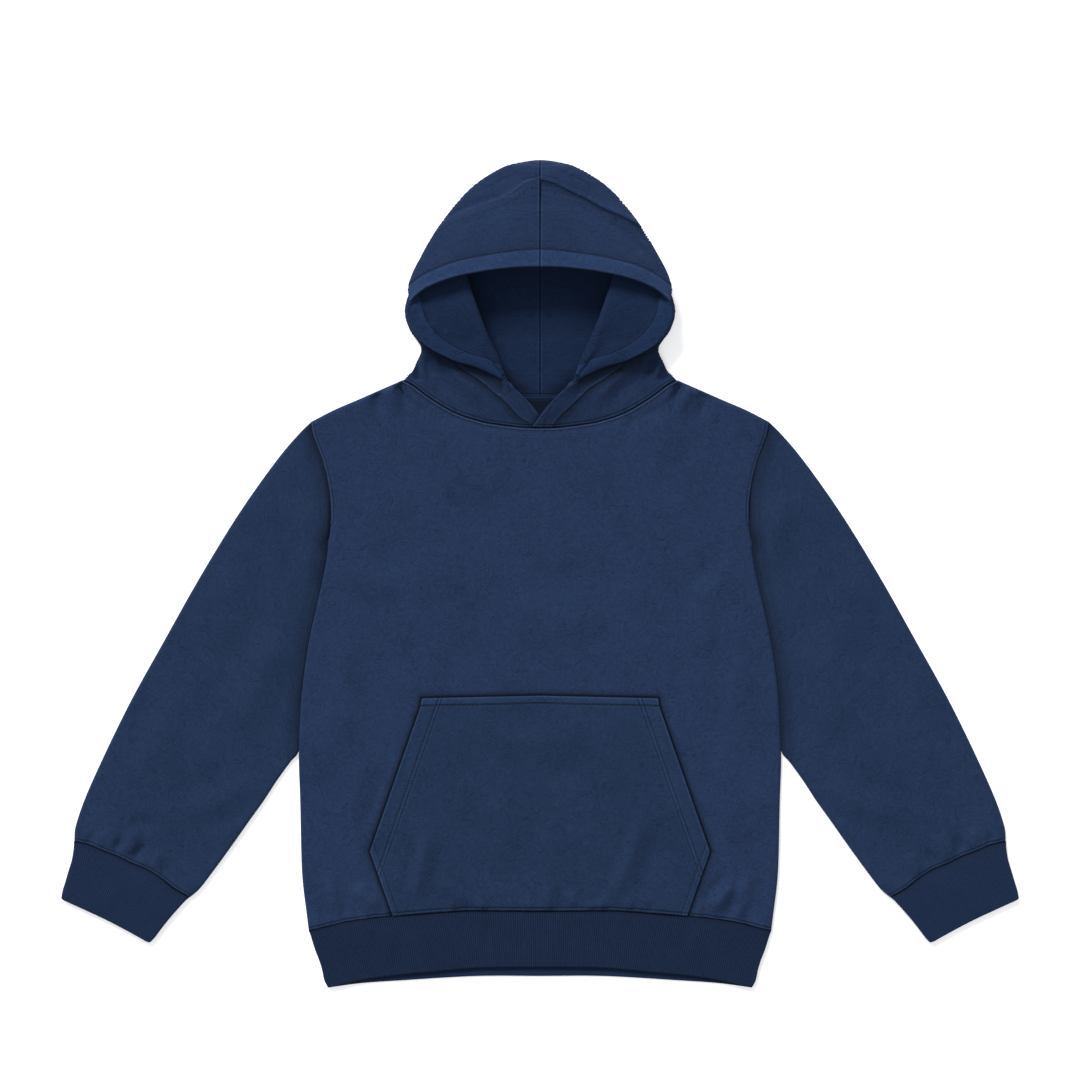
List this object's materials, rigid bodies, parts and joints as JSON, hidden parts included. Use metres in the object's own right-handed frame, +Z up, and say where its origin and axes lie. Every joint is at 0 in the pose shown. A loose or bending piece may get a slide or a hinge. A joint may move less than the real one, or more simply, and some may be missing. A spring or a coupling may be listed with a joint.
{
  "type": "pullover hoodie",
  "caption": "Navy fleece pullover hoodie laid flat on its back, with a crossed-over hood, a kangaroo pocket, and ribbed cuffs and hem band",
  "frame": {"origin": "on the table, under the middle of the garment's outline", "axes": "+X across the garment to the wearer's left, +Y from the hem up to the hood, +Z up from the table"},
  "size_m": [1.114, 0.9585, 0.0551],
  "materials": {
    "fleece": "matt brushed sweatshirt fleece, navy",
    "rib": "matt rib knit, dark navy"
  },
  "bodies": {
    "root": {"front_body": "fleece", "back_body": "fleece", "sleeve_left": "fleece", "sleeve_right": "fleece", "cuff_left": "rib", "cuff_right": "rib", "hem_band": "rib", "hood_left": "fleece", "hood_right": "fleece", "pocket": "fleece"}
  },
  "joints": []
}
